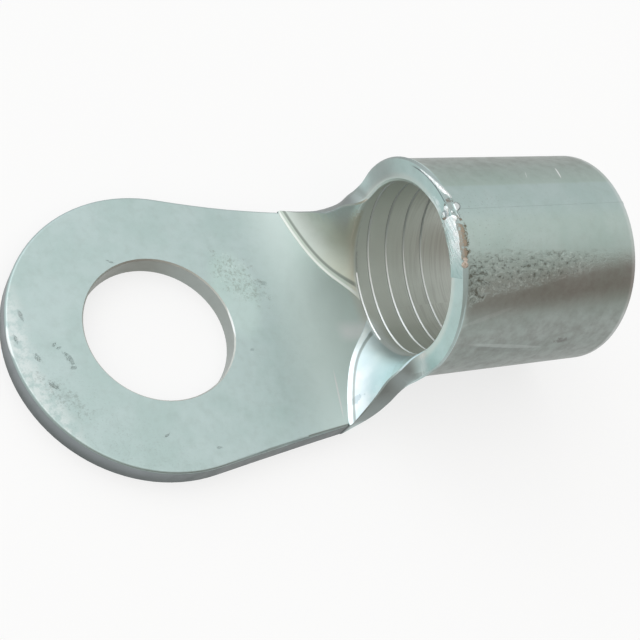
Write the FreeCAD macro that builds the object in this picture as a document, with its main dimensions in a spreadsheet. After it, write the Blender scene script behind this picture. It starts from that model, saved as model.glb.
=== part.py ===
# Uninsulated ring terminal: one formed sheet of copper, ring, tongue, neck and rolled barrel.
# Frame: origin at the centre of the stud hole on the face that lies on the busbar,
# +Z up through the hole, +X from the ring to the barrel. Millimetres.
import FreeCAD, Part
import math
import os
import Sketcher
from FreeCAD import Vector, Rotation, Placement

doc = FreeCAD.newDocument("ring_terminal")

# Sizes
sheet = doc.addObject("Spreadsheet::Sheet", "Sizes")
SIZES = [
    ("stud_hole_dia", 13.0, "hole for an M12 stud"),
    ("ring_dia", 25.6, "outside of the ring"),
    ("sheet_thick", 1.9, "thickness of the sheet everywhere"),
    ("side_curve", 80.0, "radius of the hollow side of the tongue at +Y"),
    ("near_side_curve", 600.0, "the same at -Y, where the side is nearly straight"),
    ("waist_at", 14.6, "x where the tongue's sides end and the neck begins"),
    ("waist_width", 21.4, "width of the tongue there"),
    ("barrel_bore", 15.0, "inside diameter of the barrel"),
    ("mouth_at", 19.5, "x of the barrel's mouth at the height of its axis"),
    ("mouth_lean", 1.9, "degrees by which the mouth leans forward at the top"),
    ("rear_at", 38.2, "x of the barrel's rear end"),
    ("neck_back", 20.3, "x where the neck has become the round barrel"),
    ("in_spread_ratio", 2.1916, "inner face of the neck: its spread at the waist, in half waist widths"),
    ("in_spread_power", 2.87, "power by which it spreads towards the waist"),
    ("in_drop", 0.78, "inner face: how far its bottom would lie below the barrel's"),
    ("in_drop_reach", 2.0, "distance over which it gets there"),
    ("out_spread_ratio", 3.1495, "outer face of the neck: its spread at the waist, in half waist widths"),
    ("out_spread_power", 2.36, "power by which it spreads towards the waist"),
    ("out_drop", 0.55, "outer face: how far its bottom would lie below the barrel's"),
    ("out_drop_reach", 1.5, "distance over which it gets there"),
    ("shoulder_slim", 1.05, "how much slimmer than the waist the shoulder gets, each side"),
    ("rim_twist_ratio", 0.2, "how far the shoulder's cut turns outwards, and inwards at its foot"),
    ("groove_first", 21.4, "x of the first wire groove, at the bottom of the bore"),
    ("groove_pitch", 1.95, "pitch of the wire grooves"),
    ("groove_count", 4, "number of wire grooves"),
    ("groove_wide", 0.24, "width of a wire groove"),
    ("groove_deep", 0.11, "depth of a wire groove"),
    ("groove_lean", 7.6, "degrees by which a groove leans forward towards the top"),
    ("groove_sweep", 226.0, "degrees over which a groove runs round the bottom"),
    ("die_line_at", 20.0, "x of the line that the forming die left in front of the grooves"),
    ("die_line_sweep", 54.0, "degrees over which that line runs round the bottom"),
    ("seam_wide", 0.24, "width of the butt seam's crease"),
    ("seam_deep", 0.12, "depth of the butt seam's crease"),
    ("rim_bevel", 0.24, "leg of the bevel on the rim's outer edge"),
    ("rim_inner_bevel", 0.1, "leg of the bevel on the rim's inner edge"),
    ("rim_bevel_start", 3.0, "length along the rim from the waist to where its outer bevel starts"),
    ("rim_bevel_run", 4.0, "length over which the outer bevel grows to its full size"),
    ("rim_inner_start", 0.5, "length along the rim from the waist to where its inner bevel starts"),
    ("rim_inner_run", 1.5, "length over which the inner bevel grows to its full size"),
    ("flat_round", 0.25, "rounding of the upper edge round the ring and along the tongue"),
    ("hole_bevel", 0.12, "bevel of the stud hole's upper edge"),
    ("rear_bevel", 0.35, "bevel of the rear end's edges"),
]
for row, (name, value, note) in enumerate(SIZES, start=1):
    sheet.set("A%d" % row, name)
    sheet.set("B%d" % row, str(value))
    sheet.set("C%d" % row, note)
    sheet.setAlias("B%d" % row, name)
doc.recompute()


def size(name):
    return float(getattr(sheet, name))


THICK = size("sheet_thick")
RING_R = size("ring_dia") / 2
BORE_R = size("barrel_bore") / 2
OUT_R = BORE_R + THICK
AXIS_Z = OUT_R
BACK = size("neck_back")
MOUTH = size("mouth_at")
WAIST = size("waist_at")
HALF_WAIST = size("waist_width") / 2
# The neck's faces start a little in front of the waist, so that the rim can be cut through them
NECK_LEAD = 0.7
UP = Vector(0, 0, 1)


# Shape of the neck
def opened(x, radius, which, power):
    """Half width and depth below the axis of one face of the neck at station x."""
    d = max(BACK - x, 0.0)
    most = size(which + "_spread_ratio") * HALF_WAIST - radius
    side = radius + most * (d / (BACK - WAIST)) ** size(which + "_spread_power")
    fade = math.exp(-((d / size(which + "_drop_reach")) ** power))
    return side, radius + size(which + "_drop") * (1 - fade)


def inner(x):
    return opened(x, BORE_R, "in", 1.7)


def outer(x):
    return opened(x, OUT_R, "out", 2.0)


def normal(x, y, z):
    """Unit normal of the neck's inner face, pointing into the sheet."""
    e = 0.01
    a0, b0 = inner(x - e)
    a1, b1 = inner(x + e)
    a, b = inner(x)
    w = z - AXIS_Z
    along = ((y / a1) ** 2 + (w / b1) ** 2 - (y / a0) ** 2 - (w / b0) ** 2) / (2 * e)
    return Vector(along, 2 * y / a ** 2, 2 * w / b ** 2).normalize()


def skin(x, s):
    """Point of the sheet's inner face at station x and half width s along it, with its normal."""
    a, b = inner(x)
    flat_half = a * math.sqrt(max(1 - (BORE_R / b) ** 2, 0.0))
    if s <= flat_half:
        return Vector(x, s, THICK), Vector(0, 0, -1)
    angle = math.atan2(flat_half / a, BORE_R / b)
    left = s - flat_half
    while left > 1e-6:
        run = math.hypot(a * math.cos(angle), b * math.sin(angle))
        step = min(0.002, left / run)
        left -= step * run
        angle += step
    p = Vector(x, a * math.sin(angle), AXIS_Z - b * math.cos(angle))
    return p, normal(p.x, p.y, p.z)


# Helpers for the document
def sketch(body, name, plane):
    s = body.newObject("Sketcher::SketchObject", name)
    for feature in body.Origin.OriginFeatures:
        if feature.Role == plane:
            s.AttachmentSupport = (feature, [""])
    s.MapMode = "FlatFace"
    return s


def constrain(s, *args):
    return s.addConstraint(Sketcher.Constraint(*args))


def drive(s, text, *args):
    """Constraint whose value follows an expression of the sheet's sizes."""
    s.setExpression("Constraints[%d]" % constrain(s, *args), text)


def box(name, lengths, corner):
    b = doc.addObject("Part::Box", name)
    for side_name, text in zip(("Length", "Width", "Height"), lengths):
        b.setExpression(side_name, text)
    for axis, text in zip("xyz", corner):
        b.setExpression("Placement.Base." + axis, text)
    return b


def boolean(kind, name, base, tool):
    b = doc.addObject("Part::" + kind, name)
    b.Base = base
    b.Tool = tool
    return b


def solid_of(faces):
    shell = Part.Shell(faces)
    shell.sewShape()
    solid = Part.Solid(shell)
    if solid.Volume < 0:
        solid.reverse()
    return solid


# Ring and tongue: the flat of the sheet, as far as the neck's back
def side_arc(radius):
    """Centre of the arc that touches the ring and ends at the waist, and its angles."""
    reach = math.hypot(WAIST, HALF_WAIST)
    far = RING_R + radius
    along = (far ** 2 - radius ** 2 + reach ** 2) / (2 * reach)
    off = math.sqrt(far ** 2 - along ** 2)
    x = (WAIST * along - HALF_WAIST * off) / reach
    y = (HALF_WAIST * along + WAIST * off) / reach
    touch_x = x * RING_R / far
    touch_y = y * RING_R / far
    on_ring = math.atan2(touch_y, touch_x)
    return x, y, on_ring, math.atan2(touch_y - y, touch_x - x), math.atan2(HALF_WAIST - y, WAIST - x)


def arc(s, x, y, r, start, stop):
    return s.addGeometry(Part.ArcOfCircle(Part.Circle(Vector(x, y, 0), UP, r), start, stop))


def line(s, x0, y0, x1, y1, helper=False):
    return s.addGeometry(Part.LineSegment(Vector(x0, y0, 0), Vector(x1, y1, 0)), helper)


tongue = doc.addObject("PartDesign::Body", "Tongue")
outline = sketch(tongue, "TongueOutline", "XY_Plane")
far_r = size("side_curve")
near_r = size("near_side_curve")
far_x, far_y, far_on_ring, far_start, far_stop = side_arc(far_r)
near_x, near_y, near_on_ring, near_start, near_stop = side_arc(near_r)
ring = arc(outline, 0, 0, RING_R, far_on_ring, 2 * math.pi - near_on_ring)
far_side = arc(outline, far_x, far_y, far_r, far_start, far_stop)
near_side = arc(outline, near_x, -near_y, near_r, -near_stop, -near_start)
top = line(outline, WAIST, HALF_WAIST, BACK, HALF_WAIST)
end = line(outline, BACK, HALF_WAIST, BACK, -HALF_WAIST)
low = line(outline, BACK, -HALF_WAIST, WAIST, -HALF_WAIST)
constrain(outline, "Coincident", ring, 3, -1, 1)
constrain(outline, "Tangent", ring, 1, far_side, 1)
constrain(outline, "Tangent", ring, 2, near_side, 2)
constrain(outline, "Coincident", far_side, 2, top, 1)
constrain(outline, "Coincident", top, 2, end, 1)
constrain(outline, "Coincident", end, 2, low, 1)
constrain(outline, "Coincident", low, 2, near_side, 1)
constrain(outline, "Horizontal", top)
constrain(outline, "Horizontal", low)
constrain(outline, "Symmetric", end, 1, end, 2, -1)
drive(outline, "Sizes.ring_dia / 2", "Radius", ring, RING_R)
drive(outline, "Sizes.side_curve", "Radius", far_side, far_r)
drive(outline, "Sizes.near_side_curve", "Radius", near_side, near_r)
drive(outline, "Sizes.waist_width", "DistanceY", end, 2, end, 1, 2 * HALF_WAIST)
drive(outline, "Sizes.waist_at", "DistanceX", -1, 1, top, 1, WAIST)
drive(outline, "Sizes.waist_at", "DistanceX", -1, 1, low, 2, WAIST)
drive(outline, "Sizes.neck_back", "DistanceX", -1, 1, end, 1, BACK)
pad = tongue.newObject("PartDesign::Pad", "TonguePad")
pad.Profile = outline
pad.setExpression("Length", "Sizes.sheet_thick")
eye = sketch(tongue, "StudHoleOutline", "XY_Plane")
eye.addGeometry(Part.Circle(Vector(0, 0, 0), UP, size("stud_hole_dia") / 2))
constrain(eye, "Coincident", 0, 3, -1, 1)
drive(eye, "Sizes.stud_hole_dia / 2", "Radius", 0, size("stud_hole_dia") / 2)
hole = tongue.newObject("PartDesign::Pocket", "StudHole")
hole.Profile = eye
hole.Type = "ThroughAll"
hole.Midplane = True
doc.recompute()


# Neck: half ellipses swept along the axis, wide in front, round at the back
def bell(name, face, top_radius):
    """Solid inside a face whose sections are half ellipses below the axis and above it."""
    count = 14
    longest = BACK - WAIST + NECK_LEAD
    points = []
    params = []
    for n in range(count):
        done = longest * n / (count - 1)
        x = BACK - longest + done
        points.append(Vector(x, *face(x)))
        params.append(done)
    spine = Part.BSplineCurve()
    spine.interpolate(Points=points, Parameters=params)
    # A half ellipse as a rational curve: five poles, the second and fourth weighted
    weight = math.sqrt(0.5)
    across = [(1, 0), (1, 1), (0, 1), (-1, 1), (-1, 0)]
    faces = []
    for sign in (-1, 1):
        rows = []
        for p in spine.getPoles():
            rise = p.z if sign < 0 else top_radius
            rows.append([Vector(p.x, p.y * c, AXIS_Z + sign * rise * r) for c, r in across])
        surface = Part.BSplineSurface()
        surface.buildFromPolesMultsKnots(
            rows, spine.getMultiplicities(), [3, 2, 3], spine.getKnots(), [0, 0.5, 1],
            False, False, spine.Degree, 2, [[1, weight, 1, weight, 1]] * len(rows))
        faces.append(surface.toShape())
    for x in (points[0].x, points[-1].x):
        ends = []
        for e in faces[0].Edges + faces[1].Edges:
            if abs(e.BoundBox.XMin - x) < 1e-6 and abs(e.BoundBox.XMax - x) < 1e-6:
                ends.append(e)
        faces.append(Part.Face(Part.Wire(ends)))
    body = doc.addObject("Part::Feature", name)
    body.Shape = solid_of(faces)
    return body


inside = bell("NeckInside", inner, BORE_R)
outside = bell("NeckOutside", outer, OUT_R)
# The neck's wall starts a little in front of the waist and is a little wider than it
neck_room = box(
    "NeckRoom",
    ("Sizes.neck_back - Sizes.waist_at + 0.15", "Sizes.waist_width + 0.1", "Sizes.ring_dia"),
    ("Sizes.waist_at - 0.15", "-Sizes.waist_width / 2 - 0.05", "0"))
neck = boolean("Cut", "NeckWall", outside, inside)
neck = boolean("Common", "NeckWallTrim", neck, neck_room)
flat_room = box(
    "FlatRoom",
    ("Sizes.waist_at - 0.15 + Sizes.ring_dia", "Sizes.ring_dia * 2", "Sizes.sheet_thick * 2"),
    ("-Sizes.ring_dia", "-Sizes.ring_dia", "-Sizes.sheet_thick / 2"))
flat_limits = boolean("Fuse", "FlatLimits", outside, flat_room)
flat = boolean("Common", "Flat", tongue, flat_limits)

# Barrel: the rolled sheet behind the neck
barrel_outside = doc.addObject("Part::Cylinder", "BarrelOutside")
barrel_outside.setExpression("Radius", "Sizes.barrel_bore / 2 + Sizes.sheet_thick")
barrel_inside = doc.addObject("Part::Cylinder", "BarrelInside")
barrel_inside.setExpression("Radius", "Sizes.barrel_bore / 2")
for cylinder in (barrel_outside, barrel_inside):
    cylinder.setExpression("Height", "Sizes.rear_at - Sizes.neck_back")
    cylinder.Placement = Placement(Vector(BACK, 0, AXIS_Z), Rotation(Vector(1, 0, 1), 180))
barrel = boolean("Cut", "Barrel", barrel_outside, barrel_inside)
whole = doc.addObject("Part::MultiFuse", "Formed")
whole.Shapes = [flat, neck, barrel]

# The upper half of the neck goes up to just before the mouth
mouth_room = box(
    "MouthRoom",
    ("Sizes.mouth_at - 0.7", "Sizes.ring_dia * 2", "Sizes.ring_dia * 2"),
    ("0", "-Sizes.ring_dia", "Sizes.barrel_bore / 2 + Sizes.sheet_thick + 0.4"))
whole = boolean("Cut", "Mouth", whole, mouth_room)

# Rim: the sheet's cut edge from the tongue's side over the shoulder and up round the mouth.
# Along the shoulder: share of the way from the waist to the mouth, share of the slimming there,
# share of the step from half the waist to the quarter turn of the bore, and share of the twist
SHOULDER = [
    (-0.143, -0.25, 0, 0), (-0.020, -0.08, 0, -1.6), (0.061, 0.08, 0, -1.5), (0.184, 0.36, 0, -1.0),
    (0.327, 0.68, 0, -0.3), (0.449, 0.89, 0, 0.2), (0.551, 1.00, 0, 0.65), (0.633, 0.75, 0, 0.75),
    (0.704, 0.36, 0, 0.6), (0.816, 0.13, 0, 0.3), (0.918, 0, 0.11, 0.1), (0.980, 0, 0.51, 0),
]
# Above the shoulder: share of a quarter turn, up to the seam at the top
UPWARDS = (0.042, 0.17, 0.34, 0.51, 0.68, 0.85, 1.0)
QUARTER = BORE_R * math.pi / 2
stations = []
for way, slim, step, _ in SHOULDER:
    s = HALF_WAIST - size("shoulder_slim") * slim + (QUARTER - HALF_WAIST) * step
    stations.append((WAIST + (MOUTH - WAIST) * way, s))
for share in UPWARDS:
    rise = BORE_R * math.sin(share * math.pi / 2)
    stations.append((MOUTH - rise * math.tan(math.radians(size("mouth_lean"))), QUARTER * (1 + share)))
far_rail = [skin(x, s) for x, s in stations]
far_params = [0.0]
for (p, _), (q, _) in zip(far_rail, far_rail[1:]):
    far_params.append(far_params[-1] + (q - p).Length)
twists = [size("rim_twist_ratio") * row[3] for row in SHOULDER] + [0] * len(UPWARDS)


def across_rim(p, n, twist):
    """Direction of the cut through the sheet at point p of the far rail."""
    across = n + Vector(-0.5, 1.0, 0.7) * twist
    # Up round the mouth the cut is square to the barrel's axis
    across.x *= min(max((AXIS_Z + 0.6 - p.z) / 4.0, 0.0), 1.0)
    return across.normalize()


def mirrored(p):
    return Vector(p.x, -p.y, p.z)


# The whole rim: inner edge points, cut directions and lengths along it, from one waist to the other
rail = [(p, across_rim(p, n, twist)) for (p, n), twist in zip(far_rail, twists)]
rail += [(mirrored(p), mirrored(d)) for p, d in reversed(rail[:-1])]
params = far_params + [2 * far_params[-1] - u for u in reversed(far_params[:-1])]


def strip(points_a, points_b, params):
    """Surface of straight lines between two curves with the same parameters."""
    curves = []
    for points in (points_a, points_b):
        c = Part.BSplineCurve()
        if len(points) == 2:
            c.buildFromPolesMultsKnots(points, [2, 2], [0, 1], False, 1)
        else:
            c.interpolate(Points=points, Parameters=params)
        curves.append(c)
    surface = Part.BSplineSurface()
    surface.buildFromPolesMultsKnots(
        [c.getPoles() for c in curves], [2, 2], curves[0].getMultiplicities(),
        [0, 1], curves[0].getKnots(), False, False, 1, curves[0].Degree)
    return surface.toShape()


def rim_knife(name, near, far, shifts):
    """Cutter bounded by the strip from near to far and its copy moved by the shifts."""
    near_moved = [p + shift for p, shift in zip(near, shifts)]
    far_moved = [p + shift for p, shift in zip(far, shifts)]
    faces = [
        strip(near, far, params), strip(near_moved, far_moved, params),
        strip(near, near_moved, params), strip(far, far_moved, params),
    ]
    for n in (0, -1):
        faces.append(strip([near[n], far[n]], [near_moved[n], far_moved[n]], None))
    knife = doc.addObject("Part::Feature", name)
    knife.Shape = solid_of(faces)
    return knife


# The cutter reaches from inside the bore to well outside the sheet, and forwards over the ring
REACH_IN = 0.42 * THICK
REACH_OUT = 2.3 * THICK
knife = rim_knife(
    "RimKnife",
    [p - d * REACH_IN for p, d in rail],
    [p + d * REACH_OUT for p, d in rail],
    [Vector(-1.07, 0.93 * p.y / HALF_WAIST, 0.8) * BORE_R for p, d in rail])
whole = boolean("Cut", "Rim", whole, knife)


def sheet_depth(p, d):
    """Length of the cut at point p of the inner face, along d to the sheet's outer face."""
    inside_at = 0.5 * THICK
    outside_at = 1.7 * THICK
    while outside_at - inside_at > 1e-6:
        half_way = (inside_at + outside_at) / 2
        q = p + d * half_way
        a, b = outer(q.x)
        if q.z > AXIS_Z:
            b = OUT_R
        if (q.y / a) ** 2 + ((q.z - AXIS_Z) / b) ** 2 < 1 and q.z > 0:
            inside_at = half_way
        else:
            outside_at = half_way
    return inside_at


# Before a bevel starts, its cutter stays clear of the corner by this share of the bevel
CLEAR = 0.3
# How far a bevel's cutter stands proud of the corner to either side, and outwards
PROUD = 0.26 * THICK
OUTWARDS = 0.42 * THICK


def grown(u, start, run):
    """Share of a bevel's size: below zero, so no cut, before start, and full a run later."""
    from_waist = min(u, params[-1] - u)
    share = min(max((from_waist - start) / run, 0.0), 1.0)
    return (1 + CLEAR) * share * share * (3 - 2 * share) - CLEAR


def bevel_knife(name, wide, outside_edge, start, run):
    """Cutter that takes a corner of the rim off, on the outer or the inner face of the sheet."""
    near = []
    far = []
    shifts = []
    for n, ((p, d), u) in enumerate(zip(rail, params)):
        before = rail[max(n - 1, 0)][0]
        after = rail[min(n + 1, len(rail) - 1)][0]
        inwards = d.cross(after - before).normalize()
        if outside_edge:
            corner = p + d * sheet_depth(p, d)
            into_cut = -d
        else:
            corner = p
            into_cut = d
        leg = wide * grown(u, start, run)
        centre = corner + (into_cut + inwards) * leg / 2
        reach = (inwards - into_cut).normalize() * (0.71 * wide + PROUD)
        near.append(centre - reach)
        far.append(centre + reach)
        shifts.append((into_cut + inwards).normalize() * -OUTWARDS)
    return rim_knife(name, near, far, shifts)


outer_knife = bevel_knife(
    "RimOuterKnife", size("rim_bevel"), True, size("rim_bevel_start"), size("rim_bevel_run"))
whole = boolean("Cut", "RimOuterBevel", whole, outer_knife)
inner_knife = bevel_knife(
    "RimInnerKnife", size("rim_inner_bevel"), False, size("rim_inner_start"), size("rim_inner_run"))
whole = boolean("Cut", "RimInnerBevel", whole, inner_knife)


# Rounded and bevelled edges
def eased(kind, name, base, wide, wanted):
    """Round or bevel every edge of base for which wanted(edge) is true."""
    doc.recompute()
    feature = doc.addObject("Part::" + kind, name)
    feature.Base = base
    feature.Edges = [(n, wide, wide) for n, edge in enumerate(base.Shape.Edges, start=1) if wanted(edge)]
    doc.recompute()
    return feature


def at_top(edge):
    b = edge.BoundBox
    return b.ZMin > THICK - 1e-6 and b.ZMax < THICK + 1e-6


def hole_edge(edge):
    return at_top(edge) and abs(edge.BoundBox.XMin + size("stud_hole_dia") / 2) < 1e-6


def ring_edge(edge):
    return at_top(edge) and abs(edge.BoundBox.XMin + RING_R) < 1e-6


def rear_edge(edge):
    return edge.BoundBox.XMin > size("rear_at") - 1e-6


whole = eased("Fillet", "FlatRound", whole, size("flat_round"), ring_edge)
whole = eased("Chamfer", "HoleBevel", whole, size("hole_bevel"), hole_edge)
whole = eased("Chamfer", "RearBevel", whole, size("rear_bevel"), rear_edge)

# Lines pressed into the bore: V sections turned round a leaning axis, open at the top
grooves = doc.addObject("PartDesign::Body", "Grooves")
grooves.AllowCompound = True
lean = math.radians(size("groove_lean"))
half = size("groove_wide") / 2
above = 0.3
skim = 0.02


def pressed_line(name, foot_x, sweep):
    """One line whose lowest point is at x = foot_x, turned over the sizes' sweep."""

    def leaning(along, up):
        """Point of the profile, from the line's middle at the bottom of the bore."""
        return (foot_x + along * math.cos(lean) - up * math.sin(lean),
                THICK + along * math.sin(lean) + up * math.cos(lean))

    profile = sketch(grooves, name + "Profile", "XZ_Plane")
    corners = [
        leaning(-half, above), leaning(-half, -skim), leaning(0, -size("groove_deep")),
        leaning(half, -skim), leaning(half, above),
    ]
    for (x0, z0), (x1, z1) in zip(corners, corners[1:] + corners[:1]):
        line(profile, x0, z0, x1, z1)
    for n in range(len(corners)):
        constrain(profile, "Coincident", n, 2, (n + 1) % len(corners), 1)
    line(profile, *leaning(-2, BORE_R / math.cos(lean)), *leaning(2, BORE_R / math.cos(lean)), helper=True)
    turned = grooves.newObject("PartDesign::Revolution", name)
    turned.Profile = profile
    turned.ReferenceAxis = (profile, ["Axis0"])
    turned.Midplane = True
    turned.setExpression("Angle", sweep)
    return turned


pressed_line("DieLine", size("die_line_at"), "Sizes.die_line_sweep")
groove = pressed_line("Groove", size("groove_first"), "Sizes.groove_sweep")
groove_row = grooves.newObject("PartDesign::LinearPattern", "GrooveRow")
groove_row.Originals = [groove]
groove_row.Direction = (groove.Profile[0], ["H_Axis"])
groove_row.setExpression("Occurrences", "Sizes.groove_count")
groove_row.setExpression("Length", "Sizes.groove_pitch * (Sizes.groove_count - 1)")
grooves.Tip = groove_row
whole = boolean("Cut", "Grooved", whole, grooves)

# Crease of the butt seam along the barrel's top, outside and inside
crease = doc.addObject("Part::Feature", "SeamCrease")
crease_from = MOUTH - 0.8 * THICK
crease_to = size("rear_at") + THICK
proud = 0.05
prisms = []
for z, sign in ((AXIS_Z + OUT_R, -1), (AXIS_Z + BORE_R, 1)):
    edge_z = z - sign * proud
    left = Vector(crease_from, -size("seam_wide") / 2, edge_z)
    right = Vector(crease_from, size("seam_wide") / 2, edge_z)
    root = Vector(crease_from, 0, z + sign * size("seam_deep"))
    section = Part.Face(Part.makePolygon([left, right, root, left]))
    prisms.append(section.extrude(Vector(crease_to - crease_from, 0, 0)))
crease.Shape = Part.makeCompound(prisms)
whole = boolean("Cut", "Seamed", whole, crease)

# The finished sheet, checked and written
terminal = doc.addObject("Part::Refine", "TerminalBody")
terminal.Source = whole
terminal.Label = "terminal_body"
doc.recompute()
for o in doc.Objects:
    failed = "Invalid" in o.State or "Error" in o.State
    if failed or (hasattr(o, "Shape") and not o.Shape.isNull() and not o.Shape.isValid()):
        raise RuntimeError("%s did not build: %s" % (o.Name, o.State))
if terminal.Shape.isNull() or len(terminal.Shape.Solids) != 1:
    raise RuntimeError("the terminal is not one solid")
print("terminal_body: %.2f mm3, %d faces" % (terminal.Shape.Volume, len(terminal.Shape.Faces)))
os.makedirs("parts", exist_ok=True)
terminal.Shape.exportStep("parts/%s.step" % terminal.Label)
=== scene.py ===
# Looks of the uninsulated ring terminal: tin-plated copper with its brazed seam, on a pale floor.
# Frame: origin at the stud hole on the underside, +X to the barrel, +Z up.
# Objects are in metres. Sizes, materials and the braze are worked out in millimetres.
import math

import bmesh
import bpy
from mathutils import Matrix, Vector, noise


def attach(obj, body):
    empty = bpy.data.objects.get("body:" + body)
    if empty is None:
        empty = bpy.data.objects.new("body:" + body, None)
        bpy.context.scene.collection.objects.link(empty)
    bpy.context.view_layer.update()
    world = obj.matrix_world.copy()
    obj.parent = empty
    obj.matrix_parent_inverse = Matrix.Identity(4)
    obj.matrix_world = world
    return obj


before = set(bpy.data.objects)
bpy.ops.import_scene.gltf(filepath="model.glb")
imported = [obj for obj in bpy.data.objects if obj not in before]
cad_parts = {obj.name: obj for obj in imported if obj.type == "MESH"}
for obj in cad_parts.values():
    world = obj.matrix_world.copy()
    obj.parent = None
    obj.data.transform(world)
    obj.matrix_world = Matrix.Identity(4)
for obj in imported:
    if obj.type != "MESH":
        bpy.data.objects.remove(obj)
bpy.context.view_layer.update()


MM = 0.001

# The part's own sizes
SHEET = 1.9
HOLE_R = 6.5
BORE_R = 7.5
BARREL_R = BORE_R + SHEET
AXIS_Z = BARREL_R
WAIST_X = 14.6
MOUTH_X = 19.25
REAR_X = 38.2

# Camera: the photograph's place, turn and focal length
CAMERA_AT = Vector((-39.114, -40.095, 85.779)) * MM
CAMERA_RIGHT = (0.859815, -0.297375, 0.415073)
CAMERA_UP = (0.079667, 0.881078, 0.466212)
CAMERA_BACK = (-0.504352, -0.367789, 0.781256)
FOCAL_PIXELS = 1212.84
FRAME_PIXELS = 640
SENSOR_WIDTH = 36
NEAR_CLIP = 0.005
FAR_CLIP = 200


def add_camera():
    data = bpy.data.cameras.new("camera")
    data.sensor_width = SENSOR_WIDTH
    data.lens = FOCAL_PIXELS / FRAME_PIXELS * data.sensor_width
    data.clip_start = NEAR_CLIP
    data.clip_end = FAR_CLIP
    camera = bpy.data.objects.new("camera", data)
    bpy.context.scene.collection.objects.link(camera)
    turn = Matrix((CAMERA_RIGHT, CAMERA_UP, CAMERA_BACK)).transposed()
    camera.matrix_world = Matrix.Translation(CAMERA_AT) @ turn.to_4x4()
    bpy.context.scene.camera = camera


# Node helpers
def with_alpha(colour):
    """A colour of three numbers gets its fourth; a socket stays as it is."""
    return (*colour, 1) if isinstance(colour, tuple) else colour


class Nodes:
    """A short way to write a node tree; values may be numbers, colours or sockets."""

    def __init__(self, tree):
        self.tree = tree

    def add(self, kind, inputs=None, **settings):
        node = self.tree.nodes.new(kind)
        for name, value in settings.items():
            setattr(node, name, value)
        for name, value in (inputs or {}).items():
            if isinstance(value, bpy.types.NodeSocket):
                self.tree.links.new(value, node.inputs[name])
            else:
                node.inputs[name].default_value = value
        return node

    def math(self, operation, *values):
        return self.add("ShaderNodeMath", dict(enumerate(values)), operation=operation).outputs[0]

    def chain(self, operation, values):
        result = values[0]
        for value in values[1:]:
            result = self.math(operation, result, value)
        return result

    def plus(self, *values):
        return self.chain("ADD", values)

    def times(self, *values):
        return self.chain("MULTIPLY", values)

    def most(self, *values):
        return self.chain("MAXIMUM", values)

    def minus(self, value, less):
        return self.math("SUBTRACT", value, less)

    def off(self, value, middle):
        """How far a value is from the middle, to either side."""
        return self.math("ABSOLUTE", self.minus(value, middle))

    def length(self, a, b):
        return self.math("SQRT", self.plus(self.times(a, a), self.times(b, b)))

    def step(self, value, low, high, to_low=0.0, to_high=1.0):
        """Smooth step from to_low at low to to_high at high, where low may be the larger."""
        return self.add("ShaderNodeMapRange", {
            "Value": value, "From Min": low, "From Max": high, "To Min": to_low, "To Max": to_high},
            interpolation_type="SMOOTHSTEP").outputs[0]

    def within(self, value, rise, fall):
        """One between two soft edges, each given by where it is zero and where it is one."""
        return self.times(self.step(value, *rise), self.step(value, *fall))

    def mix(self, share, low, high):
        return self.add("ShaderNodeMix", {"Factor": share, 2: low, 3: high}, data_type="FLOAT").outputs[0]

    def tint(self, share, low, high, blend="MIX"):
        colours = {"Factor": share, 6: with_alpha(low), 7: with_alpha(high)}
        return self.add("ShaderNodeMix", colours, data_type="RGBA", blend_type=blend).outputs[2]

    def noise(self, where, scale, detail=3.0, roughness=0.55):
        settings = {"Vector": where, "Scale": scale, "Detail": detail, "Roughness": roughness}
        return self.add("ShaderNodeTexNoise", settings).outputs["Fac"]

    def point(self, x, y, z):
        return self.add("ShaderNodeCombineXYZ", {"X": x, "Y": y, "Z": z}).outputs[0]

    def split(self, vector):
        return self.add("ShaderNodeSeparateXYZ", {0: vector}).outputs

    def place(self):
        """The shaded point in the part's millimetres."""
        metres = self.add("ShaderNodeTexCoord").outputs["Object"]
        return self.add("ShaderNodeVectorMath", {0: metres, "Scale": 1 / MM}, operation="SCALE").outputs[0]

    def blot(self, x, y, at, radii, turn=0.0, ragged=None):
        """One inside an ellipse at a place in the x, y plane, fading towards its edge."""
        cosine, sine = math.cos(math.radians(turn)), math.sin(math.radians(turn))
        dx = self.minus(x, at[0])
        dy = self.minus(y, at[1])
        along = self.math("DIVIDE", self.plus(self.times(dx, cosine), self.times(dy, sine)), radii[0])
        across = self.math("DIVIDE", self.minus(self.times(dy, cosine), self.times(dx, sine)), radii[1])
        far = self.plus(self.times(along, along), self.times(across, across))
        if ragged is not None:
            far = self.plus(far, ragged)
        return self.step(far, 1.0, 0.35)

    def surface(self, colour, metallic, rough, height=None):
        """The shader over everything, with a bump from a height in millimetres."""
        inputs = {"Base Color": colour, "Metallic": metallic, "Roughness": rough}
        if height is not None:
            bump = {"Strength": 1.0, "Distance": MM, "Height": height}
            inputs["Normal"] = self.add("ShaderNodeBump", bump).outputs[0]
        shader = self.add("ShaderNodeBsdfPrincipled", inputs)
        self.add("ShaderNodeOutputMaterial", {"Surface": shader.outputs[0]})


def new_material(name):
    material = bpy.data.materials.new(name)
    material.use_nodes = True
    material.node_tree.nodes.clear()
    return material


# Stage: pale floor and soft light
FLOOR_HALF = 40.0
FLOOR_DROP = 0.00002
FLOOR_CORNERS = ((-1, -1), (1, -1), (1, 1), (-1, 1))
WHITE = (1.0, 1.0, 1.0)
PAPER = (0.98, 0.98, 0.98)
FLOOR_WHITE = 0.74


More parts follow.
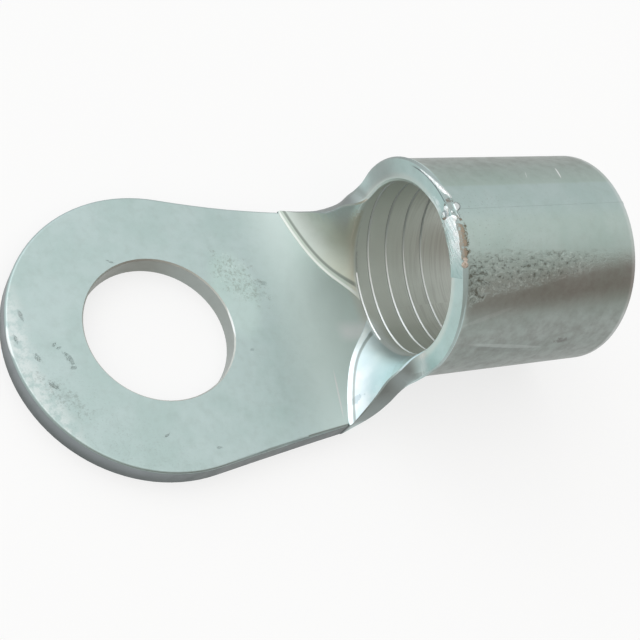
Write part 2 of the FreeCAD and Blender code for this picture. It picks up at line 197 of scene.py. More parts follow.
def add_floor():
    """Paper that takes the part's shadow, and that the camera and reflections see as mostly white."""
    data = bpy.data.meshes.new("floor")
    corners = [(x * FLOOR_HALF, y * FLOOR_HALF, 0) for x, y in FLOOR_CORNERS]
    data.from_pydata(corners, [], [(0, 1, 2, 3)])
    floor = bpy.data.objects.new("floor", data)
    bpy.context.scene.collection.objects.link(floor)
    material = new_material("floor_paper")
    nodes = Nodes(material.node_tree)
    paper = nodes.add("ShaderNodeBsdfDiffuse", {"Color": with_alpha(PAPER)})
    white = nodes.add("ShaderNodeEmission", {"Color": with_alpha(WHITE), "Strength": 1.0})
    path = nodes.add("ShaderNodeLightPath").outputs
    seen = nodes.most(path["Is Camera Ray"], path["Is Glossy Ray"], path["Is Transmission Ray"])
    shader = nodes.add("ShaderNodeMixShader", {
        0: nodes.times(seen, FLOOR_WHITE), 1: paper.outputs[0], 2: white.outputs[0]})
    nodes.add("ShaderNodeOutputMaterial", {"Surface": shader.outputs[0]})
    data.materials.append(material)
    floor.location.z = -FLOOR_DROP


def direction(azimuth, elevation):
    a, e = math.radians(azimuth), math.radians(elevation)
    return math.cos(a) * math.cos(e), math.sin(a) * math.cos(e), math.sin(e)


def dimmed(level, colour):
    return tuple(level * part for part in colour)


# The studio round the part, in degrees: azimuth, elevation, full within, gone beyond, and its light
ROOM = dimmed(0.66, (1.0, 1.0, 0.98))
PANELS = {
    "softbox": (122, 22, 14, 54, dimmed(0.62, (0.95, 1.0, 1.06))),
    "top light": (70, 76, 4, 42, dimmed(0.30, WHITE)),
    "behind the camera": (195, 62, 8, 60, dimmed(0.28, (1.0, 0.99, 0.96))),
}
DARK = {
    "low side": (-112, -5, 25, 62, (0.56, 0.50, 0.44)),
    "dark corner": (-52, 12, 17, 43, (0.48, 0.39, 0.35)),
}
SUN_FROM = (118, 38)
SUN_STRENGTH = 0.10
SUN_ANGLE = 25


def add_world():
    """An even room to which the panels add light, and from which the dark places take it."""
    world = bpy.data.worlds.new("studio")
    world.use_nodes = True
    world.node_tree.nodes.clear()
    nodes = Nodes(world.node_tree)
    where = nodes.add("ShaderNodeTexCoord").outputs["Generated"]
    light = ROOM
    for lobes, blend in ((PANELS, "ADD"), (DARK, "MULTIPLY")):
        for azimuth, elevation, inner, outer, colour in lobes.values():
            towards = {0: where, 1: direction(azimuth, elevation)}
            aim = nodes.add("ShaderNodeVectorMath", towards, operation="DOT_PRODUCT").outputs["Value"]
            lobe = nodes.step(aim, math.cos(math.radians(outer)), math.cos(math.radians(inner)))
            light = nodes.tint(lobe, light, colour, blend)
    back = nodes.add("ShaderNodeBackground", {"Color": light, "Strength": 1.0})
    nodes.add("ShaderNodeOutputWorld", {"Surface": back.outputs[0]})
    bpy.context.scene.world = world


def add_sun():
    data = bpy.data.lights.new("key", "SUN")
    data.energy = SUN_STRENGTH
    data.angle = math.radians(SUN_ANGLE)
    sun = bpy.data.objects.new("key", data)
    bpy.context.scene.collection.objects.link(sun)
    sun.rotation_euler = Vector(direction(*SUN_FROM)).to_track_quat("Z", "Y").to_euler()


# Colours of the plated sheet, painted light and shade among them; those named SHADE or LIT multiply what is
# under them
TIN = (0.505, 0.635, 0.62)
TIN_LIGHT = (0.555, 0.675, 0.67)
TIN_PATCH = (0.40, 0.47, 0.44)
TIN_SPECK = (0.36, 0.41, 0.37)
# Painted light on the tongue near the neck
TONGUE_PAINTED_LIGHT = (0.80, 0.92, 0.90)
BORE_GREY = (0.74, 0.765, 0.72)
# Painted shade in the wire grooves
GROOVE_SHADE = (0.10, 0.10, 0.095)
DRAWN_LINE = (0.40, 0.40, 0.38)
# Painted highlight low in the bore
FOOT_HIGHLIGHT = (0.92, 0.97, 0.98)
# Painted shade standing in for a darker reflection away from the barrel's top
DULL_REFLECTION_SHADE = (0.23, 0.235, 0.23)
WARM_SHADE = (1.0, 0.985, 0.945)
SEAM_SHADE = (0.99, 1.0, 1.04)
CROWN_SHADE = (0.92, 0.93, 0.92)
LOW_SHADE = (0.84, 0.85, 0.84)
# Brown painted shade standing in for a dark reflection on the barrel
BROWN_REFLECTION_SHADE = (0.215, 0.155, 0.135)
PIT_FIELD = (0.30, 0.29, 0.25)
PIT_DARK = (0.11, 0.105, 0.075)
PIT_RIM = (0.66, 0.72, 0.67)
FINE_PIT = (0.20, 0.21, 0.19)
FLUX_CRUST = (0.13, 0.095, 0.045)
FLUX_TAN = (0.47, 0.385, 0.30)
# Painted highlight and painted shade that draw the braze spots
SPOT_HIGHLIGHT = (0.90, 0.95, 0.96)
SPOT_EDGE_SHADE = (0.16, 0.18, 0.18)
SMUDGE = (0.16, 0.16, 0.15)
SCUFF = (0.27, 0.32, 0.30)
GRAIN_DARK = (0.25, 0.29, 0.25)
GRAIN_LIGHT = (0.80, 0.88, 0.86)
FLAT_LIT = (1.10, 1.11, 1.09)
# Patchy brightness on the ring's front
RING_FRONT_BRIGHT = (0.88, 0.93, 0.93)
GRIME = (0.24, 0.28, 0.26)
SCRAPED = (0.25, 0.29, 0.27)
SCRATCH = (0.93, 0.95, 0.95)
ROLLED_LIGHT = (0.62, 0.68, 0.67)
# Painted shadow beside the rolled lines, and a painted highlight on the rear edge
ROLLED_LINE_SHADOW = (0.16, 0.17, 0.165)
REAR_HIGHLIGHT = (0.85, 0.88, 0.88)
# Painted shade on the stud hole's wall
HOLE_WALL_SHADE_LEFT = (0.22, 0.215, 0.185)
HOLE_WALL_SHADE_RIGHT = (0.34, 0.36, 0.34)
# Painted shade on the cut side round the ring and along the tongue
SIDE_FOOT_SHADE = (0.06, 0.06, 0.062)
SIDE_TOP_SHADE = (0.20, 0.21, 0.225)
SIDE_TONGUE_SHADE = (0.055, 0.06, 0.06)
# Painted shade on the rounded edge of the flat
ROUND_EDGE_SHADE = (0.28, 0.34, 0.33)
HOLE_EDGE = (0.62, 0.64, 0.60)
# Painted highlight on the rim's inner edge
INNER_EDGE_HIGHLIGHT = (0.92, 0.95, 0.95)
# Painted shade on the far flank and a painted bluish reflection on the near flank
FAR_FLANK_SHADE = (0.97, 0.91, 0.82)
DEEP_FLANK_SHADE = (0.86, 0.82, 0.79)
NEAR_FLANK_REFLECTION = (0.50, 0.65, 0.69)
NEAR_FLANK_LOW_LIGHT = (0.78, 0.85, 0.87)
NEAR_FLANK_BACK_LIGHT = (0.70, 0.84, 0.86)
NEAR_FLANK_TEAL = (0.28, 0.38, 0.42)
# Painted highlight, painted light and painted shade along the crease
CREASE_HIGHLIGHT = (0.84, 0.88, 0.85)
CREASE_SHADE = (0.20, 0.23, 0.21)
COLD_FLANK_LIGHT = (0.82, 0.87, 0.88)
WARM_FLANK_LIGHT = (0.90, 0.88, 0.74)
# Painted shade on the rim's outer bevel and a painted shadow under the braze's spike
OUTER_EDGE_SHADE = (0.27, 0.31, 0.30)
SPIKE_SHADOW = (0.10, 0.11, 0.12)
GLINT = (0.95, 0.97, 0.98)
JUNCTION = (0.15, 0.11, 0.085)
# Painted shade and painted light on the rim's cut face
FAR_CUT_SHADE = (0.35, 0.39, 0.38)
FAR_FACE_SHADE = (0.86, 0.87, 0.865)
NEAR_FACE_LIT = (1.20, 1.10, 1.10)
SHOULDER_CUT = (0.255, 0.275, 0.27)

# Scuffs on the flat: place, radii and turn
SCUFFS = [
    ((-9.24, -0.64), (0.25, 0.12), 40), ((-8.9, -0.94), (0.22, 0.12), 20),
    ((-8.3, -1.9), (0.75, 0.25), -62), ((-8.1, -2.75), (0.28, 0.18), 0),
    ((-10.75, -1.6), (0.45, 0.22), -65), ((-12.1, 0.1), (0.5, 0.16), -75),
    ((-11.3, 2.2), (0.55, 0.16), -80), ((-9.3, 9.0), (0.5, 0.14), -75),
    ((-10.0, -4.1), (0.5, 0.2), -45), ((-2.8, 6.5), (0.45, 0.1), -28),
    ((7.6, -2.8), (0.2, 0.12), 0), ((10.6, 3.5), (0.55, 0.22), -20),
    ((2.1, -11.0), (0.25, 0.12), 0), ((-2.0, -9.4), (0.35, 0.1), 30),
]

# Other marks on the flat and on the near flank, in x and y
GRAINY_SPOT = ((8.4, 4.1), (3.6, 2.0), -52)
# A pool of painted light on the flat
LIT_SPOT = ((7.6, 2.6), (2.6, 5.0))
SCRAPED_SPOT = ((-9.3, -5.2), (3.2, 0.9), -47)
TONGUE_SCRATCH = ((14.41, -7.76), (2.6, 0.10), 82.8)
TEAL_SPOT = ((15.6, -8.7), (0.7, 0.35), 30)

# Marks on the barrel, in x and the length round the wall from the top
PIT_CLUMP = ((20.3, 6.2), (1.6, 1.9), 10)
CRUST_SPOT = ((19.54, 2.65), (0.66, 2.35), 4)
FLUX_SPOT = ((19.50, 2.5), (0.44, 1.95), 4)
# Braze spots drawn with a painted highlight and an outline of painted shade
BRAZE_SPOTS = [((19.92, -0.35), (0.40, 0.50), 20), ((19.56, 0.50), (0.30, 0.50), -10)]
SMUDGE_SPOT = ((31.8, 12.7), (0.9, 0.45), 0)
LONG_SCRATCH = ((32.85, -3.9), (0.95, 0.10), 107)
SHORT_SCRATCH = ((29.1, -3.7), (0.55, 0.05), 114)
ROLLED_LINES = [((22.2, 9.15), (3.0, 0.26), -15.5), ((25.6, 12.6), (5.0, 0.26), 10)]
ROLLED_SHADOW = ((25.0, 13.0), (4.4, 0.35), 12)

# Marks on the mouth's rim, in the length round the wall and the radius
GLINT_SPOT = ((-1.9, 8.05), (1.5, 0.5), 8)
JUNCTION_SPOT = ((-0.95, 9.15), (0.34, 0.45), 0)

# Bumps: how high or deep they are
GRAIN_HIGH = 0.004
SWELL_HIGH = 0.03
PIT_DEEP = 0.11
PIT_RIM_HIGH = 0.06
BRAZE_SPOT_HIGH = 0.12
SCUFF_DEEP = 0.02


class Plate(Nodes):
    """The plated sheet: its colour, roughness and height build up layer by layer."""

    def __init__(self, material):
        super().__init__(material.node_tree)
        self.where = self.place()
        self.x, self.y, self.z = self.split(self.where)
        normal = self.add("ShaderNodeNewGeometry").outputs["True Normal"]
        self.nx, self.ny, self.nz = self.split(normal)
        self.outwards = self.times(self.ny, self.math("SIGN", self.y))
        self.from_hole = self.length(self.x, self.y)

        # Round the barrel: radius, angle from the top towards -Y in degrees, and length along the wall
        up = self.minus(self.z, AXIS_Z)
        self.radius = self.length(self.y, up)
        angle = self.math("ARCTAN2", self.times(self.y, -1.0), up)
        self.degrees = self.times(angle, 180 / math.pi)
        self.around = self.times(angle, BARREL_R)

        # Regions that several layers share
        on_barrel = self.step(self.radius, BARREL_R - 0.9, BARREL_R - 0.2)
        self.outside = self.times(on_barrel, self.step(self.x, MOUTH_X + 0.35, MOUTH_X + 0.55))
        at_top = self.within(self.z, (SHEET - 0.3, SHEET - 0.1), (SHEET + 0.4, SHEET + 0.2))
        self.on_flat = self.times(self.step(self.nz, 0.9, 0.97), at_top)
        self.on_skin = self.step(self.radius, BARREL_R - 0.3, BARREL_R - 0.2)
        self.on_face = self.step(self.nx, -0.8, -0.95)
        self.at_hole = self.step(self.from_hole, HOLE_R + 0.4, HOLE_R + 0.2)

        # Unevenness that several layers share
        self.patch = self.noise(self.where, 1.1, 4.0, 0.65)
        self.speck = self.noise(self.where, 6.0, 3.0, 0.7)
        self.rubbing = self.noise(self.where, 3.4, 4.0, 0.75)
        self.ragged = self.step(self.noise(self.where, 2.4, 4.0, 0.7), 0.3, 0.7, -0.5, 0.9)
        self.soft = self.step(self.noise(self.where, 2.0, 2.0, 0.5), 0.3, 0.7, -0.25, 0.25)

        # The sheet as it came: clouded tin with fine bumps
        cloud = self.noise(self.where, 0.22, 4.0, 0.6)
        self.colour = self.tint(self.step(cloud, 0.35, 0.65), TIN, TIN_LIGHT)
        self.lay(self.step(self.patch, 0.42, 0.75, 0.0, 0.18), TIN_PATCH)
        self.lay(self.step(self.speck, 0.62, 0.78, 0.0, 0.12), TIN_SPECK)
        self.rough = self.step(self.patch, 0.3, 0.75, 0.38, 0.46)
        grain = self.noise(self.where, 9.0, 4.0, 0.65)
        swell = self.noise(self.where, 0.5, 2.0, 0.5)
        self.height = self.plus(self.times(grain, GRAIN_HIGH), self.times(swell, SWELL_HIGH))

    def lay(self, share, colour):
        """Cover what is there with a colour."""
        self.colour = self.tint(share, self.colour, colour)

    def stain(self, share, colour):
        """Multiply what is there by a colour."""
        self.colour = self.tint(share, self.colour, colour, "MULTIPLY")

    def roughen(self, share, rough):
        self.rough = self.mix(share, self.rough, rough)

    def lift(self, share, height):
        self.height = self.plus(self.height, self.times(share, height))

    def flat_blot(self, *shape):
        return self.blot(self.x, self.y, *shape)

    def wall_blot(self, *shape):
        return self.blot(self.x, self.around, *shape)

    def face_blot(self, *shape):
        return self.blot(self.around, self.radius, *shape)

    def lit_tongue(self):
        """Painted light: the tongue near the neck painted brighter."""
        brightened = self.times(self.on_flat, self.step(self.x, 9.0, WAIST_X - 0.1))
        self.lay(self.times(brightened, 0.8), TONGUE_PAINTED_LIGHT)
        return brightened

    def bore(self):
        """The sheet inside the barrel is greyer."""
        on_wall = self.step(self.radius, BORE_R + 0.9, BORE_R + 0.4)
        inside = self.times(on_wall, self.step(self.x, 18.6, 20.0))
        self.lay(self.times(inside, 0.9), BORE_GREY)
        return inside

    def grooves(self):
        """Painted shade in the wire grooves, darkest halfway up and fainter at the bottom and the top."""
        below_wall = self.within(
            self.radius, (BORE_R + 0.01, BORE_R + 0.04), (BORE_R + 0.25, BORE_R + 0.20))
        behind_mouth = self.step(self.x, MOUTH_X + 0.55, MOUTH_X + 0.70)
        groove = self.times(below_wall, behind_mouth, self.step(self.z, 18.0, 17.5))
        low = self.step(self.z, 2.8, 7.5, 0.35, 0.68)
        high = self.step(self.z, 15.5, 12.0, 0.1, 1.0)
        self.lay(self.times(groove, low, high), GROOVE_SHADE)
        return self.times(groove, self.step(self.z, 2.8, 5.5))

    def drawn_lines(self, inside):
        """Fine lines round the bore towards the rear, and a painted highlight on the foot of its near side.
        """
        rings = self.point(self.times(self.x, 5.0), self.times(self.around, 0.15), 0.0)
        lines = self.step(self.noise(rings, 1.0, 2.0, 0.6), 0.45, 0.62, 0.0, 0.22)
        self.lay(self.times(inside, self.step(self.x, 22.0, 27.0), lines), DRAWN_LINE)
        foot = self.times(
            self.step(self.y, -0.5, -2.0), self.step(self.z, 6.0, 4.5),
            self.within(self.x, (16.0, 17.5), (21.2, 20.2)),
            self.step(self.radius, BORE_R + 0.7, BORE_R + 0.3))
        self.lay(self.times(foot, 0.92), FOOT_HIGHLIGHT)

    def dull_shaded_barrel(self):
        """Painted shade: dull grey away from the top standing in for a darker reflection, a warm tint over
        it, a bluish tint by the seam, painted shade beyond the seam, and darker low on the near side.
        """
        dull = self.step(self.off(self.degrees, 14.0), 24.0, 58.0)
        uneven = self.step(self.patch, 0.2, 0.8, 0.62, 0.82)
        self.lay(self.times(self.outside, dull, uneven), DULL_REFLECTION_SHADE)
        self.stain(self.outside, WARM_SHADE)
        at_seam = self.within(self.degrees, (-16.0, -14.0), (10.0, -2.0))
        self.stain(self.times(self.outside, at_seam), SEAM_SHADE)
        beyond_seam = self.step(self.degrees, -14.0, -16.5)
        self.stain(self.times(self.outside, beyond_seam), CROWN_SHADE)
        low_edge = self.step(self.degrees, 68.0, 82.0)
        self.stain(self.times(self.outside, low_edge), LOW_SHADE)

    def brown_shaded_barrel(self):
        """A band of brown painted shade, standing in for a dark reflection, that climbs towards the top as
        it goes to the rear.
        """
        middle = self.minus(45.0, self.times(self.minus(self.x, 20.0), 0.30))
        band = self.step(self.off(self.degrees, middle), 15.0, 3.0)
        uneven = self.step(self.patch, 0.3, 0.7, 0.42, 0.58)
        to_rear = self.step(self.x, 18.0, 30.0, 0.5, 1.0)
        self.lay(self.times(self.outside, band, uneven, to_rear), BROWN_REFLECTION_SHADE)

    def pits(self):
        """A pitted band that narrows to the rear, with a clump of pits at the mouth."""
        middle = self.plus(self.times(self.minus(self.x, 20.0), -0.25), 34.0)
        spread = self.step(self.x, 19.5, 36.0, 13.0, 6.0)
        off_middle = self.math("DIVIDE", self.off(self.degrees, middle), spread)
        band = self.times(
            self.outside, self.step(off_middle, 1.1, 0.3), self.step(self.x, 35.5, 29.0, 0.15, 1.0))
        edge = self.step(self.patch, 0.3, 0.7, -0.5, 0.9)
        clump = self.times(self.outside, self.wall_blot(*PIT_CLUMP, edge))
        dense = self.most(band, clump)
        cells = self.noise(self.point(self.times(self.x, 0.75), self.around, 0.0), 2.3, 4.0, 0.72)
        pit = self.times(self.step(self.plus(cells, self.times(clump, 0.07)), 0.50, 0.68), dense)
        raised = self.times(self.step(cells, 0.46, 0.34), dense)
        self.lay(self.times(dense, 0.25), PIT_FIELD)
        self.lay(self.times(pit, 0.75), PIT_DARK)
        self.lay(self.times(raised, 0.55), PIT_RIM)
        self.lift(pit, -PIT_DEEP)
        self.lift(raised, PIT_RIM_HIGH)
        return band

    def fine_pits(self):
        """Finer pits on the upper barrel, fewer to the rear."""
        cells = self.noise(self.point(self.x, self.around, 0.0), 5.0, 3.0, 0.7)
        pit = self.times(self.outside, self.step(cells, 0.60, 0.72))
        upper = self.within(self.degrees, (-14.0, -4.0), (40.0, 30.0))
        fewer = self.step(self.x, 30.0, 21.0, 0.15, 0.85)
        self.lay(self.times(pit, upper, fewer), FINE_PIT)

    def flux_stain(self):
        """The crust of flux beside the braze, dark round a tan middle."""
        crust = self.times(self.on_skin, self.wall_blot(*CRUST_SPOT, self.ragged))
        self.lay(self.times(crust, 0.85), FLUX_CRUST)
        middle = self.times(crust, self.wall_blot(*FLUX_SPOT, self.ragged))
        self.lay(self.times(middle, 0.9), FLUX_TAN)

    def braze_spots(self):
        """Two raised spots of braze on the barrel behind the mouth, bright braze with a painted highlight
        inside a broken outline of painted shade, and a smudge low towards the rear.
        """
        spots = self.most(*[self.wall_blot(*spot, self.soft) for spot in BRAZE_SPOTS])
        spots = self.times(spots, self.outside)
        edge = self.within(spots, (0.02, 0.25), (0.75, 0.4))
        broken_edge = self.times(edge, self.step(self.soft, -0.15, 0.15))
        self.lay(self.times(self.step(spots, 0.3, 0.8), 0.9), SPOT_HIGHLIGHT)
        self.lay(self.times(broken_edge, 0.6), SPOT_EDGE_SHADE)
        self.lift(spots, BRAZE_SPOT_HIGH)
        smudge = self.times(self.outside, self.wall_blot(*SMUDGE_SPOT, self.ragged))
        self.lay(self.times(smudge, 0.75), SMUDGE)
        return spots

    def scuffs(self):
        """Scuffs on the flat, broken up by streaky grit."""
        lean = self.plus(self.times(self.x, 0.53), self.times(self.y, -0.85))
        over = self.plus(self.times(self.x, 0.85), self.times(self.y, 0.53))
        streaky = self.point(self.times(lean, 0.95), self.times(over, 1.5), 0.0)
        grit = self.step(self.noise(streaky, 4.4, 5.0, 0.8), 0.36, 0.62, 1.2, -0.4)
        marks = self.most(*[self.flat_blot(*scuff, grit) for scuff in SCUFFS])
        marks = self.times(marks, self.on_flat)
        faint = self.step(self.x, -2.0, 4.0, 0.42, 0.22)
        uneven = self.step(self.patch, 0.35, 0.6, 0.4, 1.0)
        self.lay(self.times(marks, faint, uneven), SCUFF)
        self.lift(marks, -SCUFF_DEEP)
        return marks

    def handled_flat(self):
        """Rubbed grain beside the hole, a pool of painted light on the flat, patchy brightness and grime on
        the ring, and a scrape.
        """
        grainy = self.times(self.on_flat, self.flat_blot(*GRAINY_SPOT, self.ragged))
        self.lay(self.times(grainy, self.step(self.rubbing, 0.46, 0.60), 0.42), GRAIN_DARK)
        self.lay(self.times(grainy, self.step(self.rubbing, 0.46, 0.34), 0.35), GRAIN_LIGHT)
        self.stain(self.times(self.on_flat, self.flat_blot(*LIT_SPOT)), FLAT_LIT)

        front = self.plus(self.times(self.x, -0.98), self.times(self.y, -0.20))
        near_rim = self.step(self.from_hole, 10.4, 12.0)
        bright_front = self.times(self.step(front, 9.6, 11.4), near_rim, self.step(self.patch, 0.38, 0.60))
        self.lay(self.times(self.on_flat, bright_front, 0.55), RING_FRONT_BRIGHT)
        near_front = self.plus(self.times(self.x, -0.72), self.times(self.y, -0.69))
        grime = self.times(self.step(near_front, 6.0, 10.0), self.step(self.speck, 0.54, 0.66))
        self.lay(self.times(self.on_flat, grime, 0.16), GRIME)
        scraped = self.times(self.flat_blot(*SCRAPED_SPOT, self.ragged), self.step(self.rubbing, 0.45, 0.60))
        self.lay(self.times(self.on_flat, scraped, 0.40), SCRAPED)

    def scratches(self):
        """Two bright scratches on the barrel and one along the tongue's near side."""
        long_one = self.times(self.outside, self.wall_blot(*LONG_SCRATCH))
        short_one = self.times(self.outside, self.wall_blot(*SHORT_SCRATCH), 0.5)
        tongue_one = self.times(self.on_flat, self.flat_blot(*TONGUE_SCRATCH), 0.95)
        self.lay(self.times(self.most(long_one, short_one, tongue_one), 0.8), SCRATCH)

    def rolled_lines(self):
        """Soft lines of rolling low on the barrel's near side with a painted shadow beside them, and a
        painted highlight on its rear edge.
        """
        rolled = self.most(*[self.wall_blot(*line) for line in ROLLED_LINES])
        self.lay(self.times(self.outside, rolled, 0.20), ROLLED_LIGHT)
        shadow = self.wall_blot(*ROLLED_SHADOW)
        self.lay(self.times(self.outside, shadow, 0.22), ROLLED_LINE_SHADOW)
        at_rear = self.step(self.x, REAR_X - 0.85, REAR_X - 0.55)
        rear_highlight = self.times(at_rear, self.step(self.radius, BARREL_R - 1.0, BARREL_R - 0.6))
        self.lay(self.times(rear_highlight, 0.35), REAR_HIGHLIGHT)

    def shaded_hole_wall(self):
        """The stud hole's wall in painted shade, lighter towards the tongue."""
        wall = self.times(self.at_hole, self.step(self.nz, 0.9, 0.7))
        tone = self.tint(self.step(self.x, 0.0, 5.0), HOLE_WALL_SHADE_LEFT, HOLE_WALL_SHADE_RIGHT)
        self.lay(self.times(wall, 0.85), tone)

    def shaded_ring_side(self):
        """The cut side round the ring and along the tongue in painted shade, darkest at its foot and on the
        tongue.
        """
        sideways = self.step(self.math("ABSOLUTE", self.nz), 0.55, 0.25)
        beyond_hole = self.step(self.from_hole, HOLE_R + 0.5, HOLE_R + 0.9)
        before_neck = self.step(self.x, WAIST_X + 0.6, WAIST_X - 0.2)
        below_top = self.step(self.z, SHEET + 0.05, SHEET - 0.05)
        side = self.times(sideways, beyond_hole, before_neck, below_top)
        by_height = self.tint(self.step(self.z, 0.0, SHEET - 0.2), SIDE_FOOT_SHADE, SIDE_TOP_SHADE)
        tone = self.tint(self.step(self.x, -6.0, 2.0), by_height, SIDE_TONGUE_SHADE)
        self.lay(self.times(side, 0.85), tone)

    def upper_edges(self):
        """Painted shade on the rounded edge between the flat and the side, and the hole's bevel."""
        beyond_hole = self.step(self.from_hole, HOLE_R + 2.5, HOLE_R + 3.5)
        before_neck = self.step(self.x, WAIST_X + 0.4, WAIST_X - 0.6)
        rounded = self.within(self.nz, (0.2, 0.35), (0.97, 0.85))
        under_top = self.step(self.z, SHEET - 0.3, SHEET - 0.2)
        round_edge = self.times(beyond_hole, before_neck, under_top, rounded)
        self.lay(self.times(round_edge, 0.6), ROUND_EDGE_SHADE)
        bevelled = self.within(self.nz, (0.3, 0.5), (0.95, 0.85))
        hole_edge = self.times(self.at_hole, self.step(self.z, SHEET - 0.15, SHEET - 0.1), bevelled)
        self.lay(self.times(hole_edge, 0.8), HOLE_EDGE)

    def lit_inner_edge(self):
        """A painted highlight along the bevel of the rim's inner edge."""
        at_bore = self.within(
            self.radius, (BORE_R - 0.02, BORE_R + 0.02), (BORE_R + 0.18, BORE_R + 0.12))
        self.lay(self.times(at_bore, self.step(self.nx, -0.2, -0.5), 0.8), INNER_EDGE_HIGHLIGHT)

    def painted_neck_flanks(self):
        """The neck's inner faces: warm painted shade on the far side, darker deep in; a painted bluish
        reflection on the near side, lighter low down and towards the back, with a teal spot.
        """
        flank = self.times(
            self.step(self.outwards, 0.0, -0.05), self.within(self.nz, (0.2, 0.4), (0.995, 0.98)),
            self.within(self.x, (WAIST_X - 0.2, WAIST_X), (MOUTH_X + 0.65, MOUTH_X + 0.25)))
        far_flank = self.times(flank, self.step(self.y, -0.5, 0.5))
        self.stain(far_flank, FAR_FLANK_SHADE)
        deep = self.times(self.step(self.x, 16.5, 19.0), self.step(self.z, 2.5, 6.0))
        self.stain(self.times(far_flank, deep), DEEP_FLANK_SHADE)

        near_flank = self.times(flank, self.step(self.y, 0.5, -0.5))
        self.lay(near_flank, NEAR_FLANK_REFLECTION)
        cloudy = self.step(self.noise(self.where, 0.7, 2.0, 0.5), 0.3, 0.7, 0.5, 1.0)
        self.lay(self.times(near_flank, self.step(self.z, 6.5, 2.6), cloudy), NEAR_FLANK_LOW_LIGHT)
        self.lay(self.times(near_flank, self.step(self.x, 16.6, 18.2), 0.6), NEAR_FLANK_BACK_LIGHT)
        teal = self.times(near_flank, self.flat_blot(*TEAL_SPOT, self.ragged))
        self.lay(self.times(teal, 0.45), NEAR_FLANK_TEAL)
        return flank, far_flank

    def crease(self, flank, far_flank):
        """Where the flanks leave the flat: a painted highlight along the crease, painted light over the far
        flank, and a dark line of painted shade.
        """
        in_band = self.within(self.z, (SHEET + 0.005, SHEET + 0.03), (SHEET + 0.32, SHEET + 0.25))
        near_share = self.times(
            self.step(self.patch, 0.3, 0.6, 0.3, 0.6), self.step(self.z, 2.15, 2.06, 0.35, 1.0))
        far_share = self.step(self.z, 2.06, 1.98, 0.1, 0.85)
        share = self.mix(self.step(self.y, -0.5, 0.5), near_share, far_share)
        self.lay(self.times(flank, in_band, share), CREASE_HIGHLIGHT)
        lit_band = self.within(self.z, (SHEET + 0.3, SHEET + 0.45), (SHEET + 2.3, SHEET + 0.5))
        tone = self.tint(self.step(self.y, 7.0, 3.0), COLD_FLANK_LIGHT, WARM_FLANK_LIGHT)
        self.lay(self.times(far_flank, lit_band, 0.32), tone)
        in_line = self.within(self.z, (SHEET + 0.22, SHEET + 0.28), (SHEET + 0.44, SHEET + 0.35))
        self.lay(self.times(flank, in_line, 0.7), CREASE_SHADE)

    def outer_edge(self):
        """Painted shade on the bevel of the rim's outer edge, stronger on the far side, and a painted shadow
        under the braze's spike.
        """
        at_skin = self.times(self.on_skin, self.step(self.radius, BARREL_R + 0.3, BARREL_R + 0.1))
        bevelled = self.within(self.nx, (-0.95, -0.85), (-0.4, -0.6))
        edge = self.times(at_skin, bevelled, self.step(self.x, MOUTH_X - 0.55, MOUTH_X - 0.35))
        self.lay(self.times(edge, self.step(self.y, -2.0, 0.0, 0.45, 0.85)), OUTER_EDGE_SHADE)
        under_spike = self.times(self.step(self.z, 16.0, 16.8), self.step(self.y, 0.9, 1.2))
        line = self.step(self.off(self.radius, BARREL_R - 0.34), 0.07, 0.03)
        spike_shadow = self.times(line, self.step(self.nx, -0.6, -0.8), under_spike)
        self.lay(self.times(spike_shadow, 0.75), SPIKE_SHADOW)

    def rim_marks(self):
        """A streaky glint on the rim's face, and the brown junction of rim and braze."""
        drawn_out = self.point(self.times(self.radius, 2.5), self.times(self.around, 0.5), 0.0)
        streaks = self.step(self.noise(drawn_out, 1.6, 2.0, 0.5), 0.42, 0.58)
        glint = self.times(self.on_face, self.face_blot(*GLINT_SPOT, self.soft), streaks)
        self.lay(self.times(glint, 0.7), GLINT)
        at_mouth = self.step(self.x, MOUTH_X + 0.70, MOUTH_X + 0.50)
        junction = self.times(at_mouth, self.face_blot(*JUNCTION_SPOT, self.ragged))
        self.lay(self.times(junction, 0.75), JUNCTION)

    def rim_faces(self):
        """The rim's cut face, with painted shade on the far side and painted light on the near side."""
        in_wall = self.step(self.radius, BORE_R + 0.1, BORE_R + 0.25)
        along_neck = self.within(self.x, (WAIST_X, WAIST_X + 0.6), (MOUTH_X + 0.35, MOUTH_X + 0.15))
        cut_face = self.times(in_wall, self.step(self.nx, 0.1, -0.1), along_neck)
        far_side = self.times(self.step(self.y, 3.5, 7.0), self.within(self.z, (4.0, 6.0), (15.5, 12.0)))
        far_cut = self.times(cut_face, far_side, self.step(self.radius, BORE_R + 0.2, BORE_R + 0.5))
        self.lay(self.times(far_cut, 0.75), FAR_CUT_SHADE)
        self.stain(self.times(cut_face, self.step(self.y, 2.5, 5.5), self.on_face), FAR_FACE_SHADE)
        self.stain(self.times(cut_face, self.step(self.y, 0.0, -3.0), self.on_face), NEAR_FACE_LIT)

    def shoulder_cut(self):
        """The square cut along the shoulders, from the waist to the mouth."""
        facing_out = self.times(self.step(self.outwards, 0.02, 0.2), self.step(self.nz, -0.05, 0.15))
        along_neck = self.within(
            self.x, (WAIST_X - 0.3, WAIST_X + 0.4), (MOUTH_X + 0.15, MOUTH_X - 0.65))
        shoulder = self.times(facing_out, along_neck, self.step(self.z, 9.0, 7.0))
        self.lay(self.times(shoulder, self.step(self.y, -1.0, 1.0, 0.8, 0.95)), SHOULDER_CUT)
        return shoulder


